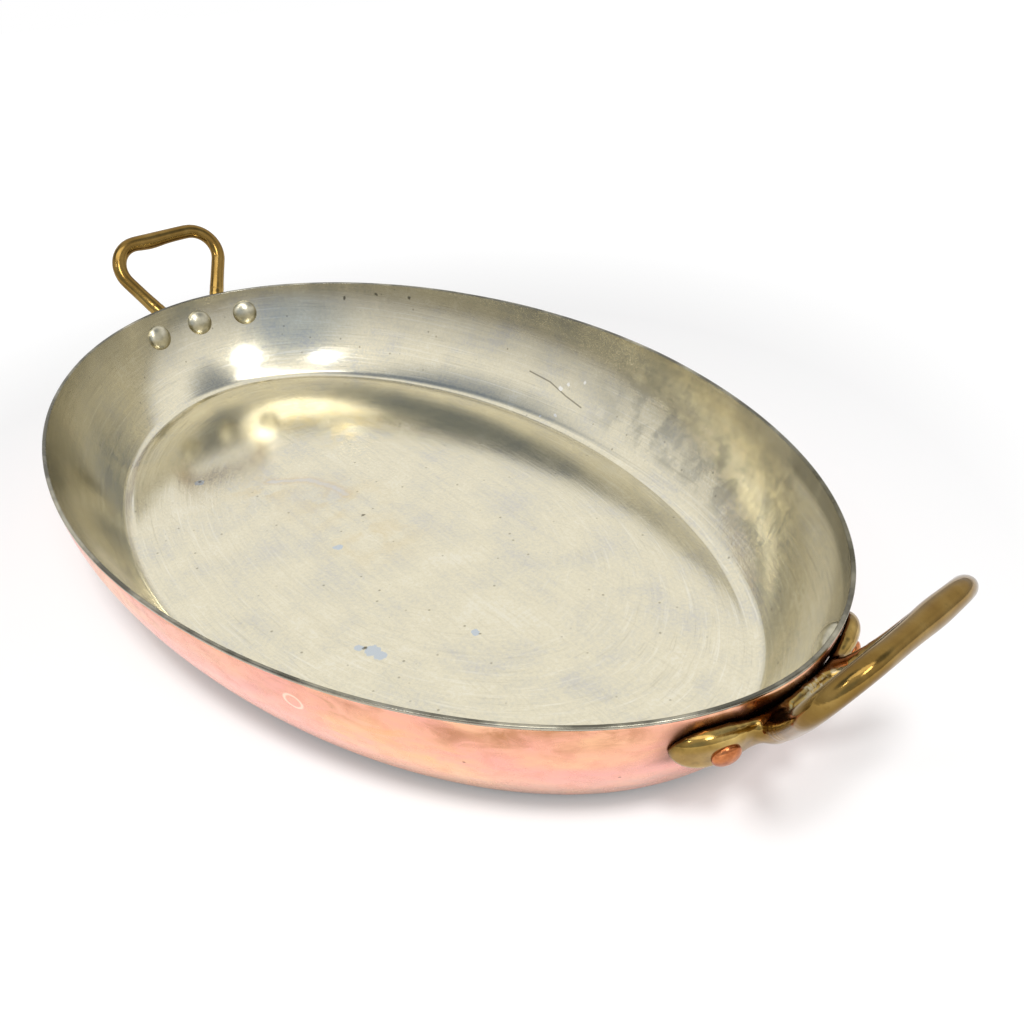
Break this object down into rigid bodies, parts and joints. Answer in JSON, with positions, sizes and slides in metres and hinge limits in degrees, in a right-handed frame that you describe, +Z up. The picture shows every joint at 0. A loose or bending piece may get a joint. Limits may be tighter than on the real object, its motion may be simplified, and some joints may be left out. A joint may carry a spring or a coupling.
{
  "type": "oval copper gratin pan",
  "caption": "Shallow oval copper pan, tinned inside, with flared walls and a cast brass loop handle riveted to each end, for baking and serving.",
  "frame": {"origin": "on the surface the pan stands on, under the middle of the flat base", "axes": "+X along the oval's length towards the near handle, +Y across the pan, +Z up out of the pan's mouth"},
  "size_m": [0.3984, 0.218, 0.0718],
  "materials": {
    "polished_copper": null,
    "wiped_tin": null,
    "cast_brass": "cast brass, filed smooth and polished, darker in the hollows",
    "rivet_copper": null
  },
  "bodies": {
    "root": {"copper_body": "polished_copper", "tin_lining": "wiped_tin", "near_handle": "cast_brass", "far_handle": "cast_brass", "near_rivet_left": "rivet_copper", "near_rivet_middle": "rivet_copper", "near_rivet_right": "rivet_copper", "far_rivet_left": "rivet_copper", "far_rivet_middle": "rivet_copper", "far_rivet_right": "rivet_copper"}
  },
  "joints": []
}
